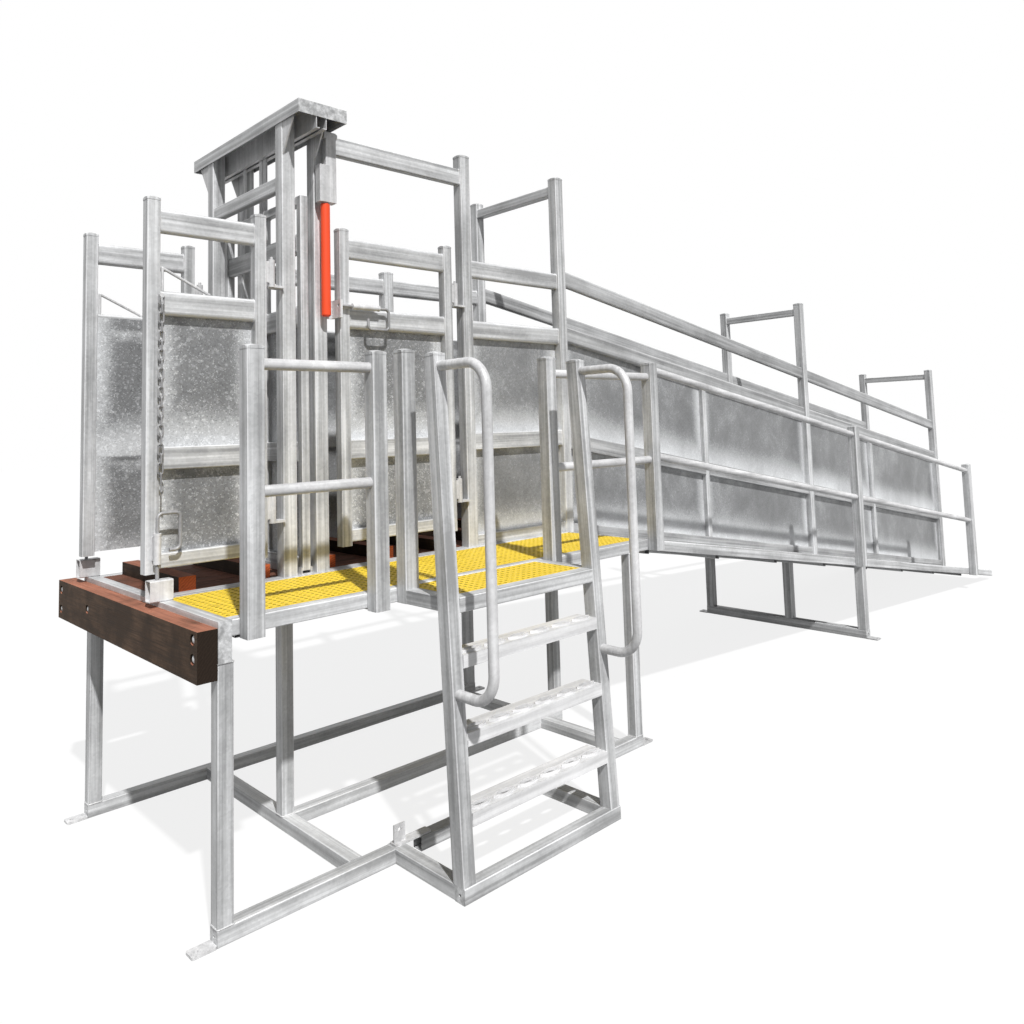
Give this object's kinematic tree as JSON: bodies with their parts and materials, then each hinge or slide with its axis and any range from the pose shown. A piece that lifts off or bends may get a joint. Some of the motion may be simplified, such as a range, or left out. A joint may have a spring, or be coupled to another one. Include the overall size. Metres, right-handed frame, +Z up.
{
  "type": "livestock loading ramp",
  "caption": "Free-standing livestock loading ramp: raised dock with slide gate, swing gates, man gate, catwalk and stairs, and a walled ramp down to the ground.",
  "frame": {"origin": "centre of the dock's four anchor holes, at ground level", "axes": "+X from the truck end towards the foot of the ramp, +Y across the race away from the stairs, +Z up"},
  "size_m": [9.7715, 2.4875, 3.6733],
  "materials": {
    "galvanised_tube": "hot-dip galvanised",
    "galvanised_sheet": "galvanised sheet with spangle",
    "galvanised_fittings": "bright galvanised",
    "yellow_tread": "satin safety yellow",
    "hardwood": "rough sawn hardwood",
    "orange_grip": "smooth"
  },
  "bodies": {
    "frame": {"ground_sills": "galvanised_tube", "cross_members": "galvanised_tube", "dock_legs": "galvanised_tube", "front_channel": "galvanised_tube", "deck_beams": "galvanised_tube", "floor_joists": "galvanised_tube", "guard_posts": "galvanised_tube", "slide_posts": "galvanised_tube", "header_cap": "galvanised_tube", "frame_crossbar": "galvanised_tube", "wall_posts": "galvanised_tube", "wall_rails": "galvanised_tube", "ramp_rails": "galvanised_tube", "ramp_channels": "galvanised_tube", "support_legs": "galvanised_tube", "stair_stiles": "galvanised_tube", "stair_bars": "galvanised_tube", "stair_side_bars": "galvanised_tube", "stair_treads": "galvanised_tube", "ramp_grating": "galvanised_sheet", "wall_sheets": "galvanised_sheet", "ramp_sheets": "galvanised_sheet", "foot_plates": "galvanised_fittings", "bumper_bolts": "galvanised_fittings", "guard_rails": "galvanised_fittings", "header_gussets": "galvanised_fittings", "leaf_tracks": "galvanised_fittings", "hinge_pins": "galvanised_fittings", "bolt_catches": "galvanised_fittings", "stair_handrails": "galvanised_fittings", "deck_grating": "yellow_tread", "bumper_timber": "hardwood", "floor_boards": "hardwood", "floor_cleats": "hardwood"},
    "near_leaf": {"near_leaf_stiles": "galvanised_tube", "near_leaf_rails": "galvanised_tube", "near_leaf_sheet": "galvanised_sheet", "near_leaf_trolleys": "galvanised_fittings"},
    "far_leaf": {"far_leaf_stiles": "galvanised_tube", "far_leaf_rails": "galvanised_tube", "far_leaf_sheet": "galvanised_sheet", "far_leaf_trolleys": "galvanised_fittings"},
    "lever": {"lever_bar": "galvanised_fittings", "lever_grip": "orange_grip"},
    "near_gate": {"near_gate_stiles": "galvanised_tube", "near_gate_rails": "galvanised_tube", "near_gate_sheet": "galvanised_sheet", "near_gate_fittings": "galvanised_fittings"},
    "far_gate": {"far_gate_stiles": "galvanised_tube", "far_gate_rails": "galvanised_tube", "far_gate_sheet": "galvanised_sheet", "far_gate_fittings": "galvanised_fittings"},
    "near_bolt": {"near_drop_bolt": "galvanised_fittings"},
    "far_bolt": {"far_drop_bolt": "galvanised_fittings"},
    "chain": {"gate_chain": "galvanised_fittings"},
    "man_gate": {"man_gate_stiles": "galvanised_tube", "man_gate_rails": "galvanised_tube", "man_gate_sheet": "galvanised_sheet", "man_gate_fittings": "galvanised_fittings"},
    "man_latch": {"man_gate_latch": "galvanised_fittings"}
  },
  "joints": [
    {"name": "near_leaf_slide", "type": "slide", "parent": "frame", "child": "near_leaf", "axis": [0, -1, 0], "range_m": [0, 0.385]},
    {"name": "far_leaf_slide", "type": "slide", "parent": "frame", "child": "far_leaf", "axis": [0, 1, 0], "range_m": [0, 0.385]},
    {"name": "lever_swing", "type": "hinge", "parent": "frame", "child": "lever", "pos_m": [-0.3985, -0.1565, 3.524], "axis": [-1, 0, 0], "range_deg": [0, 80]},
    {"name": "near_gate_swing", "type": "hinge", "parent": "frame", "child": "near_gate", "pos_m": [-0.7195, -0.1225, 1.5], "axis": [0, 0, 1], "range_deg": [0, 80]},
    {"name": "far_gate_swing", "type": "hinge", "parent": "frame", "child": "far_gate", "pos_m": [-0.7195, 0.7675, 1.5], "axis": [0, 0, -1], "range_deg": [0, 80]},
    {"name": "man_gate_swing", "type": "hinge", "parent": "frame", "child": "man_gate", "pos_m": [0.4855, -0.1225, 1.5], "axis": [0, 0, 1], "range_deg": [0, 80]},
    {"name": "near_bolt_drop", "type": "slide", "parent": "near_gate", "child": "near_bolt", "axis": [0, 0, -1], "range_m": [0, 0.06]},
    {"name": "far_bolt_drop", "type": "slide", "parent": "far_gate", "child": "far_bolt", "axis": [0, 0, -1], "range_m": [0, 0.06]},
    {"name": "man_latch_slide", "type": "slide", "parent": "man_gate", "child": "man_latch", "axis": [-1, 0, 0], "range_m": [0, 0.035]},
    {"name": "chain_swing", "type": "hinge", "parent": "near_gate", "child": "chain", "pos_m": [-1.2835, -0.1745, 2.565], "axis": [0, 1, 0], "range_deg": [-25, 6]}
  ],
  "couplings": [
    {"joint": "far_leaf_slide", "follows": "near_leaf_slide", "ratio": 1},
    {"joint": "lever_swing", "follows": "near_leaf_slide", "rad_per_m": 3.6}
  ]
}
